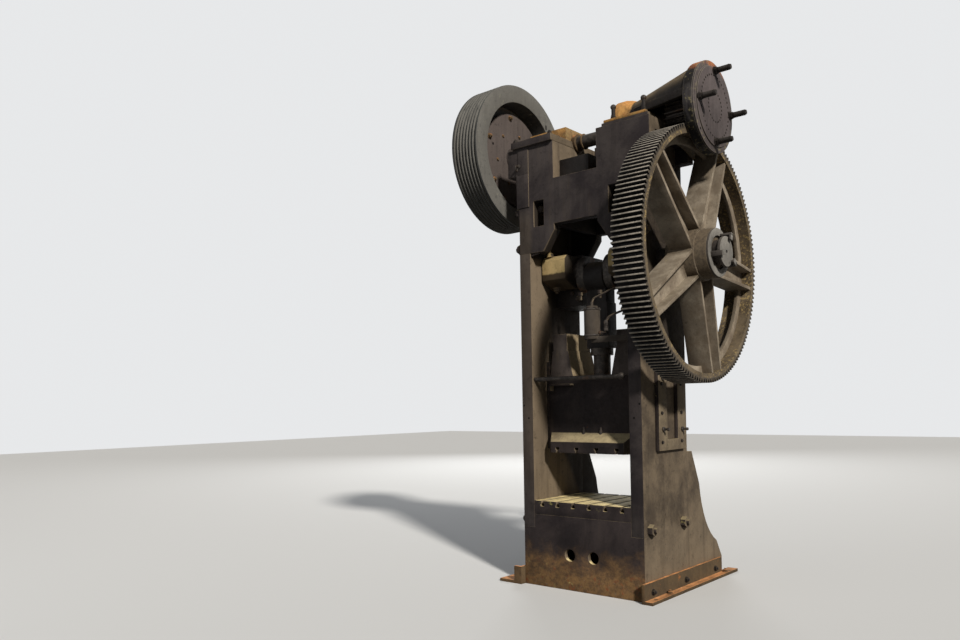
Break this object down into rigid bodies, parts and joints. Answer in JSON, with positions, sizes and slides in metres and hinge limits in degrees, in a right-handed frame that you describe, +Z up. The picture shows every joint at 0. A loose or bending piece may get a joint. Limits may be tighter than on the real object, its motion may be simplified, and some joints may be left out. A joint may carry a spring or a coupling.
{
  "type": "geared crank press",
  "caption": "Tall straight-sided crank press with an outboard spur gear, a belt flywheel, a brake drum and a slotted bed and ram.",
  "frame": {"origin": "centre of the four anchor holes, on the plane of the feet's undersides", "axes": "+X along the crankshaft towards the big gear, +Y from the front of the press to its back, +Z up"},
  "size_m": [2.414, 2.2299, 4.6445],
  "materials": {
    "frame_iron": "old dark brown paint, weathered matt",
    "oily_iron": "black with old oil",
    "dusty_iron": "paint worn to a dusty grey brown",
    "rusty_iron": "orange rust over dark paint",
    "flywheel_iron": "grey green weathered paint",
    "worn_steel": "dull oiled steel with brown stain"
  },
  "bodies": {
    "frame": {"left_upright": "frame_iron", "right_upright": "frame_iron", "left_rear_leg": "frame_iron", "right_rear_leg": "frame_iron", "left_foot": "rusty_iron", "right_foot": "rusty_iron", "bed_front_plate": "frame_iron", "bed_rear_plate": "frame_iron", "bed_table": "dusty_iron", "head_front_plate": "frame_iron", "head_rear_plate": "frame_iron", "left_pedestal": "frame_iron", "right_pedestal": "frame_iron", "valley_box": "oily_iron", "left_main_bearing": "oily_iron", "right_main_bearing": "oily_iron", "left_main_cap": "dusty_iron", "right_main_cap": "dusty_iron", "left_guide": "worn_steel", "right_guide": "worn_steel", "left_guide_cover": "dusty_iron", "right_guide_cover": "dusty_iron", "tie_bolts": "oily_iron", "stop_bar": "worn_steel", "oil_pump": "dusty_iron", "left_shaft_seat": "frame_iron", "left_shaft_cap": "rusty_iron", "right_shaft_seat": "frame_iron", "right_shaft_cap": "rusty_iron", "brake_bracket": "oily_iron", "brake_drum": "rusty_iron", "brake_cover": "dusty_iron", "brake_studs": "oily_iron"},
    "crank": {"crankshaft": "worn_steel", "gear_rim": "dusty_iron", "gear_spider": "dusty_iron", "crank_end_ring": "dusty_iron"},
    "rod": {"connecting_rod": "oily_iron", "adjusting_screw": "worn_steel"},
    "ram": {"ram": "dusty_iron", "ram_horns": "dusty_iron"},
    "drive": {"drive_shaft": "worn_steel", "pinion": "worn_steel"},
    "flywheel": {"flywheel": "flywheel_iron", "flywheel_hub": "flywheel_iron"}
  },
  "joints": [
    {"name": "crank_turn", "type": "hinge", "parent": "frame", "child": "crank", "pos_m": [0, -0.37, 2.785], "axis": [1, 0, 0], "continuous": true},
    {"name": "rod_swing", "type": "hinge", "parent": "crank", "child": "rod", "pos_m": [0, -0.37, 2.715], "axis": [1, 0, 0], "continuous": true},
    {"name": "drive_spin", "type": "hinge", "parent": "frame", "child": "drive", "pos_m": [0, -0.37, 3.9615], "axis": [1, 0, 0], "continuous": true},
    {"name": "flywheel_spin", "type": "hinge", "parent": "frame", "child": "flywheel", "pos_m": [-0.9, -0.37, 3.9615], "axis": [1, 0, 0], "continuous": true},
    {"name": "ram_slide", "type": "slide", "parent": "frame", "child": "ram", "axis": [0, 0, 1], "range_m": [0, 0.14]}
  ],
  "couplings": [
    {"joint": "drive_spin", "follows": "crank_turn", "ratio": -6.8696},
    {"joint": "rod_swing", "follows": "crank_turn", "ratio": -1}
  ]
}
